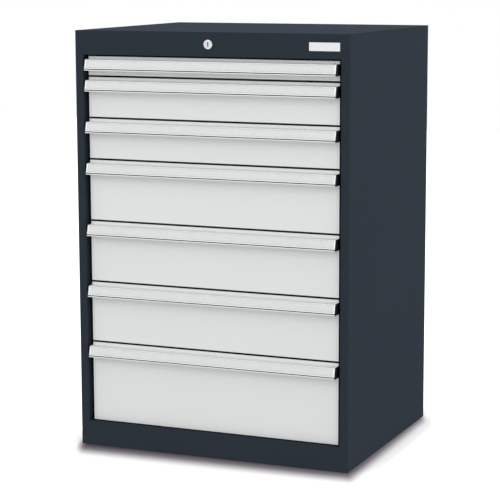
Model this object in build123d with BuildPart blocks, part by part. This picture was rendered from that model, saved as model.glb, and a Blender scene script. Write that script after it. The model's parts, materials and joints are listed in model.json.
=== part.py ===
from build123d import *
import math
import os

os.makedirs("parts", exist_ok=True)

# A floor-standing steel drawer cabinet, in millimetres.
# The origin is the centre of the base on the floor, +Z is up and the drawers open towards -Y.

# Carcass
cabinet_width = 700.0
cabinet_depth = 580.0
cabinet_height = 1019.0
sheet = 1.5
bend_radius = 1.2
pan_flange = 35.0
top_band = 57.6
bottom_band = 60.6
rail_lip = 12.0
upright_width = 21.0
upright_depth = 25.0
seam = 0.7
mitre_inset = 8.0
rear_return = 22.0

# Drawers, from the lowest one up, in modules that share the opening's height
drawer_modules = (4, 3, 3, 3, 2, 2, 1)
front_gap = 3.7
bottom_clearance = 0.8
front_recess = 13.0
front_depth = 15.0
front_side_gap = 7.0
front_sheet = 1.2
front_return = 11.0
front_edge_radius = 1.1

# Handle profile: a ledge, a sloping label channel and a rounded finger bead
ledge_drop = 7.2
ledge_reach = 20.0
bead_reach = 26.6
handle_height = 26.6
handle_wall = 1.8
handle_leg = 10.0
handle_corner = 1.6
rim_height = 2.4
rim_depth = 0.9
groove_floor = 0.8
groove_height = 2.2
groove_depth = 1.9
bead_height = 2.3
bead_radius = 1.0
end_cap_thickness = 1.8

# Trays
tray_sheet = 1.2
tray_corner = 1.1
tray_under = 5.0
tray_over = 9.0
tray_hem = 8.0
rear_space = 99.6

# Telescopic runners and the slotted columns that carry them
column_depth = 22.3
column_width = 30.0
slots_per_module = 2
slot_length = 12.0
slot_height = 4.0
runner_thickness = 25.0
runner_height = 36.0
runner_centre = 25.0
runner_sheet = 1.5
runner_play = 0.3
runner_web_gap = 2.0
runner_front_gap = 4.0
runner_overhang = 30.0

# Central lock
bezel_diameter = 22.4
bezel_height = 2.5
barrel_diameter = 19.0
barrel_length = 24.0
barrel_clearance = 0.1
nut_across_flats = 26.0
nut_height = 4.0
plug_diameter = 14.0
plug_sink = 0.2
plug_overhang = 0.5
running_clearance = 0.1
key_slot_width = 2.6
key_slot_height = 10.4
key_slot_depth = 14.0
rod_width = 22.0
rod_thickness = 4.0
lever_radius = 10.0
lever_thickness = 4.0
lever_gap = 2.0
lever_hub = 16.0
lever_eye = 9.0
pin_diameter = 5.0
pin_slot_clearance = 0.5
lock_turn = 90.0
bar_width = 20.0
bar_thickness = 2.5
bar_head = 12.0
bar_play = 0.3
hook_width = 12.0
hook_sheet = 2.0
hook_clearance = 2.0
catch_width = 20.0
catch_reach = 15.6
catch_margin = 1.2
catch_bar_gap = 3.0
post_width = 44.0
post_depth = 24.0
guide_height = 14.0
bracket_width = 30.0
bracket_drop = 16.0
bracket_foot = 18.0
bracket_inset = 36.0

# Badge plate, left bare
badge_width = 74.6
badge_height = 19.4
badge_thickness = 0.8
badge_corner = 0.8
badge_inset = 2.8
badge_drop = 0.8

# Rivets that hold the rear panel
rivet_head = 8.0
rivet_head_height = 1.3
rivet_shank = 4.0
rivet_tail = 1.0
rivet_rows = 5
rivet_end_margin = 60.0

# Planes of the carcass
opening_height = cabinet_height - bottom_band - top_band
module = (opening_height - bottom_clearance) / sum(drawer_modules)
drawer_pitches = [modules * module for modules in drawer_modules]
front_plane = -cabinet_depth / 2
back_plane = cabinet_depth / 2
half_width = cabinet_width / 2
side_inner = half_width - sheet
opening_half = half_width - upright_width
mitre_x = half_width - mitre_inset
opening_bottom = bottom_band
opening_top = cabinet_height - top_band
cover_flange_bottom = cabinet_height - pan_flange
inside_bottom = sheet
inside_height = cabinet_height - 2 * sheet
rear_panel_back = back_plane - sheet
rear_panel_front = rear_panel_back - sheet

# Planes of the drawers
drawers_bottom = opening_bottom + bottom_clearance - front_gap / 2
drawer_front_face = front_plane + front_recess
tray_front = drawer_front_face + front_depth
tray_rear = back_plane - rear_space
tray_length = tray_rear - tray_front
tray_middle = (tray_front + tray_rear) / 2
column_face = side_inner - column_depth
tray_half = column_face - runner_thickness
front_half = opening_half - front_side_gap
handle_half = front_half - end_cap_thickness
rail_start = tray_front + runner_front_gap
rail_end = tray_rear + runner_overhang
rail_length = rail_end - rail_start

# Lock geometry: the lever swings from 45 degrees below the level to 45 degrees above it
band_centre = opening_top + top_band / 2
half_turn = math.radians(lock_turn / 2)
pin_offset_x = -lever_radius * math.cos(half_turn)
pin_offset_z = -lever_radius * math.sin(half_turn)
bar_travel = -2 * pin_offset_z
bar_x = (pin_offset_x - lever_radius) / 2
bar_front = tray_rear + catch_reach + catch_bar_gap
bar_back = bar_front + bar_thickness
post_front = bar_back + bar_play
catch_lip = bar_travel - catch_margin
hook_upstand = catch_lip + pin_slot_clearance
rod_end = bar_front - lever_gap
plug_front = front_plane - bezel_height + plug_sink
plug_end = front_plane + barrel_length + plug_overhang


def save(piece, name):
    """Label a finished piece and write its file."""
    piece.part.label = name
    export_step(piece.part, f"parts/{name}.step")


def drawer_levels():
    """The pitch line under each drawer and its pitch, from the lowest one up."""
    level = drawers_bottom
    levels = []
    for pitch in drawer_pitches:
        levels.append((level, pitch))
        level += pitch
    return levels


def plan_rectangle(side, x_near, x_far, y_near, y_far):
    """A rectangle in plan between two x and two y values, on the right or the left side."""
    with Locations((side * (x_near + x_far) / 2, (y_near + y_far) / 2)):
        Rectangle(x_far - x_near, y_far - y_near)


def wall_spaces():
    """In plan, the places beside and behind a pan that the two side walls take up."""
    for side in (-1, 1):
        plan_rectangle(side, side_inner, half_width + sheet, front_plane + sheet,
                       back_plane + sheet)


# Top cover: a folded pan between the side walls, with a rear flange and a deep front apron
with BuildPart() as top_cover:
    with BuildSketch(Plane.XY.offset(cover_flange_bottom)):
        Rectangle(cabinet_width, cabinet_depth)
    extrude(amount=pan_flange)
    fillet(top_cover.edges().filter_by(Axis.Z), bend_radius)
    fillet(top_cover.faces().sort_by(Axis.Z)[-1].edges(), bend_radius)
    with BuildSketch(Plane.XY.offset(cover_flange_bottom)):
        Rectangle(cabinet_width - 2 * sheet, cabinet_depth - 2 * sheet)
    extrude(amount=pan_flange - sheet, mode=Mode.SUBTRACT)
    with BuildSketch(Plane.XY.offset(cover_flange_bottom)):
        wall_spaces()
    extrude(amount=pan_flange, mode=Mode.SUBTRACT)
    with BuildSketch(Plane.XZ.offset(-front_plane)):
        with BuildLine():
            Polyline(
                (half_width - bend_radius, cover_flange_bottom + sheet),
                (half_width - bend_radius, cover_flange_bottom),
                (mitre_x, cover_flange_bottom),
                (opening_half, opening_top),
                (-opening_half, opening_top),
                (-mitre_x, cover_flange_bottom),
                (-half_width + bend_radius, cover_flange_bottom),
                (-half_width + bend_radius, cover_flange_bottom + sheet),
                close=True,
            )
        make_face()
    extrude(amount=-sheet)
    with BuildSketch(Plane.XY.offset(opening_top)):
        with Locations((0, front_plane + rail_lip / 2)):
            Rectangle(2 * opening_half, rail_lip)
    extrude(amount=sheet)
    with BuildSketch(Plane.XZ.offset(-front_plane)):
        with Locations((0, band_centre)):
            Circle(barrel_diameter / 2 + barrel_clearance)
    extrude(amount=-sheet, mode=Mode.SUBTRACT)
save(top_cover, "top_cover")

# Base pan: the same folded pan the other way up, with its apron rising to the opening
with BuildPart() as base_pan:
    with BuildSketch():
        Rectangle(cabinet_width, cabinet_depth)
    extrude(amount=pan_flange)
    fillet(base_pan.edges().filter_by(Axis.Z), bend_radius)
    fillet(base_pan.faces().sort_by(Axis.Z)[0].edges(), bend_radius)
    with BuildSketch(Plane.XY.offset(sheet)):
        Rectangle(cabinet_width - 2 * sheet, cabinet_depth - 2 * sheet)
    extrude(amount=pan_flange - sheet, mode=Mode.SUBTRACT)
    with BuildSketch():
        wall_spaces()
    extrude(amount=pan_flange, mode=Mode.SUBTRACT)
    with BuildSketch(Plane.XZ.offset(-front_plane)):
        with BuildLine():
            Polyline(
                (half_width - bend_radius, pan_flange - sheet),
                (half_width - bend_radius, pan_flange),
                (mitre_x, pan_flange),
                (opening_half, opening_bottom),
                (-opening_half, opening_bottom),
                (-mitre_x, pan_flange),
                (-half_width + bend_radius, pan_flange),
                (-half_width + bend_radius, pan_flange - sheet),
                close=True,
            )
        make_face()
    extrude(amount=-sheet)
    with BuildSketch(Plane.XY.offset(opening_bottom - sheet)):
        with Locations((0, front_plane + rail_lip / 2)):
            Rectangle(2 * opening_half, rail_lip)
    extrude(amount=sheet)
save(base_pan, "base_pan")


def rivet_heights():
    """Heights of the rear panel's rivets."""
    low = rivet_end_margin
    step = (cabinet_height - 2 * rivet_end_margin) / (rivet_rows - 1)
    return [low + row * step for row in range(rivet_rows)]


rivet_x = side_inner - rear_return / 2
rivet_points = [(side * rivet_x, height) for side in (-1, 1) for height in rivet_heights()]


def side_panel(side):
    """A side wall with its boxed front upright, its face plate and its rear return."""
    # The face plate's mitred ends follow the slanted ends of the two aprons
    face_plate = (
        (opening_half, opening_bottom + seam),
        (opening_half, opening_top - seam),
        (mitre_x, cover_flange_bottom - seam),
        (half_width, cover_flange_bottom - seam),
        (half_width, pan_flange + seam),
        (mitre_x, pan_flange + seam),
    )
    with BuildPart() as panel:
        with BuildSketch():
            plan_rectangle(side, side_inner, half_width, front_plane + sheet, back_plane)
        extrude(amount=cabinet_height)
        outer_face = panel.faces().sort_by(Axis.X)[-1 if side > 0 else 0]
        wall_ends = outer_face.edges().filter_by(Axis.Y)
        wall_back = outer_face.edges().filter_by(Axis.Z).sort_by(Axis.Y)[-1]
        fillet(wall_ends + [wall_back], bend_radius)
        with BuildSketch(Plane.XY.offset(inside_bottom)):
            plan_rectangle(side, opening_half, opening_half + sheet, front_plane + sheet,
                           front_plane + upright_depth)
            plan_rectangle(side, opening_half, side_inner, front_plane + upright_depth - sheet,
                           front_plane + upright_depth)
            plan_rectangle(side, side_inner - rear_return, side_inner, rear_panel_front - sheet,
                           rear_panel_front)
        extrude(amount=inside_height)
        with BuildSketch(Plane.XZ.offset(-front_plane)):
            with BuildLine():
                Polyline(*[(side * x, z) for x, z in face_plate], close=True)
            make_face()
        extrude(amount=-sheet)
        face_edges = panel.edges().filter_by(Axis.Z).group_by(Axis.Y)[0].sort_by(Axis.X)
        inner_edge = face_edges[0 if side > 0 else -1]
        outer_edge = face_edges[-1 if side > 0 else 0]
        fillet(inner_edge, bend_radius / 2)
        fillet(outer_edge, bend_radius)
        with BuildSketch(Plane.XZ.offset(-rear_panel_front)):
            with Locations(*[point for point in rivet_points if point[0] * side > 0]):
                Circle(rivet_shank / 2 + running_clearance)
        extrude(amount=sheet, mode=Mode.SUBTRACT)
    return panel


save(side_panel(-1), "side_panel_left")
save(side_panel(1), "side_panel_right")

# Rear panel between the side walls, riveted to their returns
with BuildPart() as rear_panel:
    with BuildSketch(Plane.XZ.offset(-rear_panel_back)):
        with Locations((0, cabinet_height / 2)):
            Rectangle(2 * side_inner, inside_height)
        with Locations(*rivet_points):
            Circle(rivet_shank / 2 + running_clearance, mode=Mode.SUBTRACT)
    extrude(amount=sheet)
save(rear_panel, "rear_panel")

with BuildPart() as rear_rivets:
    with BuildSketch(Plane.XZ.offset(-rear_panel_back)):
        with Locations(*rivet_points):
            Circle(rivet_head / 2)
    extrude(amount=-rivet_head_height)
    fillet(rear_rivets.edges().group_by(Axis.Y)[-1], rivet_head_height / 2)
    with BuildSketch(Plane.XZ.offset(-rear_panel_back)):
        with Locations(*rivet_points):
            Circle(rivet_shank / 2)
    extrude(amount=2 * sheet + rivet_tail)
save(rear_rivets, "rear_rivets")


def runner_levels():
    """The height of each drawer's pair of runners."""
    return [level + runner_centre for level, pitch in drawer_levels()]


# Slotted columns: a channel at the front and the back of each side, open to the wall
slot_rows = slots_per_module * sum(drawer_modules)
slot_pitch = module / slots_per_module
slot_middle = drawers_bottom + slot_rows * slot_pitch / 2
with BuildPart() as rail_columns:
    for column_start in (rail_start, rail_end - column_width):
        column_end = column_start + column_width
        with BuildSketch(Plane.XY.offset(inside_bottom)):
            plan_rectangle(1, column_face, column_face + sheet, column_start, column_end)
            plan_rectangle(1, column_face, side_inner, column_start, column_start + sheet)
            plan_rectangle(1, column_face, side_inner, column_end - sheet, column_end)
        extrude(amount=inside_height)
        with BuildSketch(Plane.YZ.offset(column_face)):
            with Locations((column_start + column_width / 2, slot_middle)):
                with GridLocations(0, slot_pitch, 1, slot_rows):
                    Rectangle(slot_length, slot_height)
        extrude(amount=sheet, mode=Mode.SUBTRACT)
    mirror(about=Plane.YZ)
save(rail_columns, "rail_columns")


def channel(side, x_web, x_lips, height, centre_z, wall):
    """A C channel in section: a web at x_web and two lips that reach to x_lips."""
    x_middle = side * (x_web + x_lips) / 2
    opening_shift = side * math.copysign(wall / 2, x_lips - x_web)
    depth = abs(x_lips - x_web)
    with Locations((x_middle, centre_z)):
        Rectangle(depth, height)
    with Locations((x_middle + opening_shift, centre_z)):
        Rectangle(depth - wall, height - 2 * wall, mode=Mode.SUBTRACT)


# Runner sections, from the column inwards: fixed member, middle member, drawer member
fixed_web = column_face
fixed_lips = tray_half + runner_sheet + runner_web_gap
middle_web = fixed_web - runner_sheet - runner_web_gap
middle_lips = tray_half + runner_sheet + runner_web_gap / 2
middle_height = runner_height - 2 * (runner_sheet + runner_play)
inner_web = tray_half
inner_lips = middle_web - runner_sheet - runner_web_gap
inner_height = middle_height - 2 * (runner_sheet + runner_play)


def fixed_rails(side):
    """The fixed runner members of one side, one at each drawer."""
    with BuildPart() as rails:
        for height in runner_levels():
            with BuildSketch(Plane.XZ.offset(-rail_start)):
                channel(side, fixed_web, fixed_lips, runner_height, height, runner_sheet)
            extrude(amount=-rail_length)
    return rails


save(fixed_rails(-1), "cabinet_rails_left")
save(fixed_rails(1), "cabinet_rails_right")


def middle_runners(height):
    """The pair of middle members that travels half as far as its drawer."""
    with BuildPart() as runners:
        with BuildSketch(Plane.XZ.offset(-rail_start)):
            channel(1, middle_web, middle_lips, middle_height, height, runner_sheet)
        extrude(amount=-rail_length)
        mirror(about=Plane.YZ)
    return runners


def drawer_rails(height):
    """The pair of members fixed to a drawer's tray."""
    with BuildPart() as rails:
        with BuildSketch(Plane.XZ.offset(-rail_start)):
            channel(1, inner_web, inner_lips, inner_height, height, runner_sheet)
        extrude(amount=-(tray_rear - rail_start))
        mirror(about=Plane.YZ)
    return rails


def drawer_front(level, pitch):
    """A folded front: a face with a rim all round and a return behind it."""
    bottom = level + front_gap / 2
    height = pitch - front_gap
    middle = bottom + height / 2
    with BuildPart() as front:
        with BuildSketch(Plane.XZ.offset(-drawer_front_face)):
            with Locations((0, middle)):
                Rectangle(2 * front_half, height)
        extrude(amount=-front_depth)
        face_edges = front.edges().group_by(Axis.Y)[0]
        fillet(face_edges, front_edge_radius)
        with BuildSketch(Plane.XZ.offset(-drawer_front_face - front_sheet)):
            with Locations((0, middle)):
                Rectangle(2 * (front_half - front_sheet), height - 2 * front_sheet)
        extrude(amount=-(front_depth - 2 * front_sheet), mode=Mode.SUBTRACT)
        with BuildSketch(Plane.XZ.offset(-tray_front)):
            with Locations((0, middle)):
                Rectangle(2 * (front_half - front_return), height - 2 * front_return)
        extrude(amount=front_sheet, mode=Mode.SUBTRACT)
    return front


def handle_point(top, reach, drop):
    """A point of the handle's section, outwards from the front and down from its top edge."""
    return (drawer_front_face - reach, top - drop)


def along_slope(reach_offset, drop):
    """The reach of the sloping channel's face at a drop, moved inwards by an offset."""
    slope = (bead_reach - ledge_reach) / handle_height
    return ledge_reach + slope * (drop - ledge_drop) - reach_offset


def drawer_handle(level, pitch):
    """The handle profile across the front, with its label channel and finger bead."""
    top = level + pitch - front_gap / 2
    bottom_drop = ledge_drop + handle_height
    groove_bottom = bottom_drop - bead_height
    groove_top = groove_bottom - groove_height
    inner_top = ledge_drop + handle_wall
    outline = (
        (0, ledge_drop),
        (along_slope(0, ledge_drop), ledge_drop),
        (along_slope(0, ledge_drop + rim_height), ledge_drop + rim_height),
        (along_slope(rim_depth, ledge_drop + rim_height), ledge_drop + rim_height),
        (along_slope(rim_depth, groove_top - rim_height), groove_top - rim_height),
        (along_slope(0, groove_top - rim_height), groove_top - rim_height),
        (along_slope(0, groove_top), groove_top),
        (along_slope(groove_depth, groove_top), groove_top),
        (along_slope(groove_depth, groove_bottom), groove_bottom),
        (along_slope(0, groove_bottom), groove_bottom),
        (along_slope(0, bottom_drop), bottom_drop),
        (along_slope(groove_depth + groove_floor, bottom_drop), bottom_drop),
        (along_slope(groove_depth + groove_floor, inner_top), inner_top),
        (handle_wall, inner_top),
        (handle_wall, ledge_drop + handle_leg),
        (0, ledge_drop + handle_leg),
    )
    with BuildPart() as handle:
        with BuildSketch(Plane.YZ.offset(-handle_half)):
            with BuildLine():
                Polyline(*[handle_point(top, *point) for point in outline], close=True)
            make_face()
        extrude(amount=2 * handle_half)
        long_edges = handle.edges().filter_by(Axis.X)
        fillet(long_edges.group_by(Axis.Z)[-1].sort_by(Axis.Y)[0], handle_corner)
        fillet(long_edges.group_by(Axis.Z)[0], bead_radius)
    return handle


def handle_end_caps(level, pitch):
    """The pair of dark caps that close the handle's two ends."""
    top = level + pitch - front_gap / 2
    bottom_drop = ledge_drop + handle_height
    outline = (
        (0, ledge_drop),
        (ledge_reach, ledge_drop),
        (bead_reach, bottom_drop),
        (0, bottom_drop),
    )
    with BuildPart() as caps:
        with BuildSketch(Plane.YZ.offset(handle_half)):
            with BuildLine():
                Polyline(*[handle_point(top, *point) for point in outline], close=True)
            make_face()
        extrude(amount=end_cap_thickness)
        fillet(caps.edges().filter_by(Axis.X).group_by(Axis.Y)[0], handle_corner)
        mirror(about=Plane.YZ)
    return caps


def drawer_tray(level, pitch):
    """An open tray with hemmed top edges and the lock's catch on its rear wall."""
    bottom = level + tray_under
    height = pitch - tray_under - tray_over
    top = bottom + height
    catch_under = top - hook_sheet
    with BuildPart() as tray:
        with BuildSketch(Plane.XY.offset(bottom)):
            with Locations((0, tray_middle)):
                Rectangle(2 * tray_half, tray_length)
        extrude(amount=height)
        fillet(tray.edges().filter_by(Axis.Z), tray_corner)
        with BuildSketch(Plane.XY.offset(bottom + tray_sheet)):
            with Locations((0, tray_middle)):
                Rectangle(2 * (tray_half - 2 * tray_sheet), tray_length - 4 * tray_sheet)
        extrude(amount=height, mode=Mode.SUBTRACT)
        with BuildSketch(Plane.XY.offset(bottom + tray_sheet)):
            with Locations((0, tray_middle)):
                Rectangle(2 * (tray_half - tray_sheet), tray_length - 2 * tray_sheet)
        extrude(amount=height - tray_sheet - tray_hem, mode=Mode.SUBTRACT)
        with BuildSketch(Plane.XY.offset(catch_under)):
            with Locations((bar_x, tray_rear + catch_reach / 2 - tray_sheet / 2)):
                Rectangle(catch_width, catch_reach + tray_sheet)
        extrude(amount=hook_sheet)
        with BuildSketch(Plane.XY.offset(catch_under - catch_lip)):
            with Locations((bar_x, tray_rear + catch_reach - hook_sheet / 2)):
                Rectangle(catch_width, hook_sheet)
        extrude(amount=catch_lip)
    return tray


for number, (level, pitch) in enumerate(reversed(drawer_levels()), start=1):
    height = level + runner_centre
    save(drawer_front(level, pitch), f"drawer_{number}_front")
    save(drawer_tray(level, pitch), f"drawer_{number}_tray")
    save(drawer_handle(level, pitch), f"drawer_{number}_handle")
    save(handle_end_caps(level, pitch), f"drawer_{number}_end_caps")
    save(drawer_rails(height), f"drawer_{number}_rails")
    save(middle_runners(height), f"runner_{number}")

# Lock housing: a round bezel in front of the apron and a barrel through it
with BuildPart() as lock_housing:
    with BuildSketch(Plane.XZ.offset(-front_plane)):
        with Locations((0, band_centre)):
            Circle(bezel_diameter / 2)
    extrude(amount=bezel_height)
    fillet(lock_housing.edges().group_by(Axis.Y)[0], bezel_height / 3)
    with BuildSketch(Plane.XZ.offset(-front_plane)):
        with Locations((0, band_centre)):
            Circle(barrel_diameter / 2)
    extrude(amount=-barrel_length)
    with BuildSketch(Plane.XZ.offset(-front_plane + bezel_height)):
        with Locations((0, band_centre)):
            Circle(plug_diameter / 2 + running_clearance)
    extrude(amount=-(bezel_height + barrel_length), mode=Mode.SUBTRACT)
save(lock_housing, "lock_housing")

with BuildPart() as lock_nut:
    with BuildSketch(Plane.XZ.offset(-front_plane - sheet)):
        with Locations((0, band_centre)):
            RegularPolygon(nut_across_flats / 2, 6, major_radius=False)
            Circle(barrel_diameter / 2 + barrel_clearance / 2, mode=Mode.SUBTRACT)
    extrude(amount=-nut_height)
save(lock_nut, "lock_nut")

# Lock plug with its upright key slot
with BuildPart() as lock_plug:
    with BuildSketch(Plane.XZ.offset(-plug_front)):
        with Locations((0, band_centre)):
            Circle(plug_diameter / 2)
    extrude(amount=-(plug_end - plug_front))
    with BuildSketch(Plane.XZ.offset(-plug_front)):
        with Locations((0, band_centre)):
            Rectangle(key_slot_width, key_slot_height)
    extrude(amount=-key_slot_depth, mode=Mode.SUBTRACT)
save(lock_plug, "lock_plug")

# Lock rod: a flat bar from the plug to the back, with a lever and a pin that lifts the bar
with BuildPart() as lock_rod:
    with BuildSketch(Plane.XZ.offset(-plug_end)):
        with Locations((0, band_centre)):
            Rectangle(rod_width, rod_thickness, rotation=lock_turn / 2)
    extrude(amount=-(rod_end - plug_end))
    with BuildSketch(Plane.XZ.offset(-rod_end)):
        with Locations((0, band_centre)):
            Circle(lever_hub / 2)
        with Locations((pin_offset_x, band_centre + pin_offset_z)):
            Circle(lever_eye / 2)
        make_hull()
    extrude(amount=lever_thickness)
    with BuildSketch(Plane.XZ.offset(-rod_end)):
        with Locations((pin_offset_x, band_centre + pin_offset_z)):
            Circle(pin_diameter / 2)
    extrude(amount=-(bar_back - rod_end))
save(lock_rod, "lock_rod")

# Bracket under the cover that carries the rod's rear end in a round hole
bracket_y = rod_end - bracket_inset
rod_sweep = math.hypot(rod_width, rod_thickness)
with BuildPart() as rod_bracket:
    with BuildSketch(Plane.XZ.offset(-bracket_y)):
        with Locations((0, (band_centre - bracket_drop + cabinet_height - sheet) / 2)):
            Rectangle(bracket_width, cabinet_height - sheet - band_centre + bracket_drop)
        with Locations((0, band_centre)):
            Circle(rod_sweep / 2 + running_clearance, mode=Mode.SUBTRACT)
    extrude(amount=sheet)
    with BuildSketch(Plane.XY.offset(cabinet_height - 2 * sheet)):
        with Locations((0, bracket_y - bracket_foot / 2)):
            Rectangle(bracket_width, bracket_foot)
    extrude(amount=sheet)
save(rod_bracket, "rod_bracket")

# Lock bar: a flat upright bar with a slotted head and one hook behind each tray
bar_slot_z = band_centre + pin_offset_z
bar_top = bar_slot_z + bar_head
pin_slot_height = pin_diameter + 2 * pin_slot_clearance
pin_slot_length = lever_radius + pin_offset_x + pin_slot_height + 2 * pin_slot_clearance
with BuildPart() as lock_bar:
    with BuildSketch(Plane.XZ.offset(-bar_front)):
        with Locations((bar_x, (drawers_bottom + bar_top) / 2)):
            Rectangle(bar_width, bar_top - drawers_bottom)
        with Locations((bar_x, bar_slot_z)):
            SlotOverall(pin_slot_length, pin_slot_height, mode=Mode.SUBTRACT)
    extrude(amount=-bar_thickness)
    hook_tip = tray_rear + catch_reach / 2 - hook_sheet
    for level, pitch in drawer_levels():
        catch_under = level + pitch - tray_over - hook_sheet
        hook_top = catch_under - catch_lip - hook_clearance
        arm_bottom = hook_top - hook_upstand - hook_sheet
        with BuildSketch(Plane.XY.offset(arm_bottom)):
            with Locations((bar_x, (hook_tip + bar_front) / 2)):
                Rectangle(hook_width, bar_front - hook_tip)
        extrude(amount=hook_sheet)
        with BuildSketch(Plane.XY.offset(arm_bottom)):
            with Locations((bar_x, hook_tip + hook_sheet / 2)):
                Rectangle(hook_width, hook_sheet)
        extrude(amount=hook_upstand + hook_sheet)
save(lock_bar, "lock_bar")

# Post behind the bar, a channel from the base to the cover
with BuildPart() as lock_post:
    with BuildSketch(Plane.XY.offset(inside_bottom)):
        with Locations((bar_x, post_front + post_depth / 2)):
            Rectangle(post_width, post_depth)
        with Locations((bar_x, post_front + (post_depth + sheet) / 2)):
            Rectangle(post_width - 2 * sheet, post_depth - sheet, mode=Mode.SUBTRACT)
    extrude(amount=inside_height)
save(lock_post, "lock_post")

# Guides that hold the bar against the post, each a bridge over the bar
guide_levels = [
    drawers_bottom + guide_height,
    drawers_bottom + drawer_pitches[0] + drawer_pitches[1] + guide_height,
    drawers_bottom + sum(drawer_pitches[:4]) + guide_height,
]
guide_inner = bar_width / 2 + bar_play
with BuildPart() as bar_guides:
    for guide_level in guide_levels:
        with BuildSketch(Plane.XY.offset(guide_level)):
            with Locations((bar_x, post_front - (bar_thickness + 2 * bar_play + sheet) / 2)):
                Rectangle(2 * (guide_inner + sheet), bar_thickness + 2 * bar_play + sheet)
            with Locations((bar_x, post_front - (bar_thickness + 2 * bar_play) / 2)):
                Rectangle(2 * guide_inner, bar_thickness + 2 * bar_play, mode=Mode.SUBTRACT)
        extrude(amount=guide_height)
save(bar_guides, "bar_guides")

# Bare badge plate on the apron, in line with the opening's right edge
with BuildPart() as badge_plate:
    with BuildSketch(Plane.XZ.offset(-front_plane)):
        with Locations((opening_half - badge_inset - badge_width / 2, band_centre - badge_drop)):
            RectangleRounded(badge_width, badge_height, badge_corner)
    extrude(amount=badge_thickness)
save(badge_plate, "badge_plate")

print(f"cabinet {cabinet_width} x {cabinet_depth} x {cabinet_height}")
print(f"tray inside {2 * (tray_half - tray_sheet)} x {tray_length - 2 * tray_sheet}")
print(f"bar travel {bar_travel:.3f}")
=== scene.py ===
"""Visual model of a floor-standing steel drawer cabinet.

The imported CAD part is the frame: every CAD node keeps its place and shape and only gets a
procedural finish here. On top of it this script adds the small things that sheet metal work
leaves out: label cards with their clear covers and end stops, the ball cages of the runners,
the screws in the trays and the soft studio around the cabinet. All lengths are metres, in the
part's own frame: the origin is the centre of the base on the floor, +Z is up and the drawers
open towards -Y.
"""

import json
import logging
import math
from dataclasses import dataclass
from enum import Enum

import bpy
import numpy as np
from mathutils import Matrix, Vector


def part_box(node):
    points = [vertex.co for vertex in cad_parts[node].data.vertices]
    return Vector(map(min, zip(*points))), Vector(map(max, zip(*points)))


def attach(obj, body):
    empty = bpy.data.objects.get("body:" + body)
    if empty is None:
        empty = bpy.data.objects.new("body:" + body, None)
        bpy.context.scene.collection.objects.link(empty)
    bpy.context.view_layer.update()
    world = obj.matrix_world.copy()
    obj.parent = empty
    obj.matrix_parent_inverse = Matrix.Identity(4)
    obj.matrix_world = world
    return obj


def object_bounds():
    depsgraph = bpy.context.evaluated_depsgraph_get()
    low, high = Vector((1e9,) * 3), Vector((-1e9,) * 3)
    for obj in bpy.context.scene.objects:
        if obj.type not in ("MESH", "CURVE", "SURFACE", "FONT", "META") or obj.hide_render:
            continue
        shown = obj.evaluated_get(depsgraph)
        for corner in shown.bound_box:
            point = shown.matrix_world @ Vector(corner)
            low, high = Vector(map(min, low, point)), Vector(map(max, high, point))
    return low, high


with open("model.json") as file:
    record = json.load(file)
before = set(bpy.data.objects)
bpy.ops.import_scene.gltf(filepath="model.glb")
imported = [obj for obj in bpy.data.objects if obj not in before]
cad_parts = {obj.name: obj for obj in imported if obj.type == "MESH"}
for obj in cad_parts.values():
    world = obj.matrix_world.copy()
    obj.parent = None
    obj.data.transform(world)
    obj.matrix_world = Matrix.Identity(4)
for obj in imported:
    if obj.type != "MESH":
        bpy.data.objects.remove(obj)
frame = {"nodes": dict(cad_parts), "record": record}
cad_low, cad_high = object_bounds()

LOG = logging.getLogger("cabinet")
MM = 0.001
DRAWERS = 7
TOP_LEVEL = 255.0
RIGHT_ANGLE = 0.5 * math.pi

Colour = tuple[float, float, float, float]
Triple = tuple[float, float, float]
Socket = bpy.types.NodeSocket

WHITE: Colour = (1.0, 1.0, 1.0, 1.0)


class Slot(Enum):
    """Material slots of the record."""

    CARCASS = "carcass_paint"
    FRONT = "front_paint"
    HANDLE = "handle_paint"
    TRAY = "tray_paint"
    END_CAP = "end_cap_plastic"
    RAIL = "rail_zinc"
    LOCK_ZINC = "lock_zinc"
    CHROME = "lock_chrome"
    PLUG = "plug_metal"
    BADGE = "badge_metal"
    RIVET = "rivet_metal"


def to_linear(*levels: float) -> Colour:
    """Turn display levels from 0 to 255 into a linear colour.

    The display curve is a straight line for very dark levels and a power of 2.4, with the
    curve's own small offset, for all others.

    Args:
        levels: The red, green and blue display levels.

    Returns:
        The linear colour with full opacity.
    """
    share = np.asarray(levels, float) / TOP_LEVEL
    linear = np.where(share <= 0.04045, share / 12.92, ((share + 0.055) / 1.055) ** 2.4)
    return (*linear.tolist(), 1.0)


def shade(colour: Colour, by: float) -> Colour:
    """Scale a colour's brightness.

    Args:
        colour: The linear colour.
        by: The factor.

    Returns:
        The scaled colour with its old opacity.
    """
    return (colour[0] * by, colour[1] * by, colour[2] * by, colour[3])


@dataclass(frozen=True)
class Relief:
    """A finish's fine relief.

    It has a depth in metres and a share that shows, and the roughness swings with it by the
    same amount to both sides.
    """

    depth: float
    strength: float
    swing: float


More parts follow.
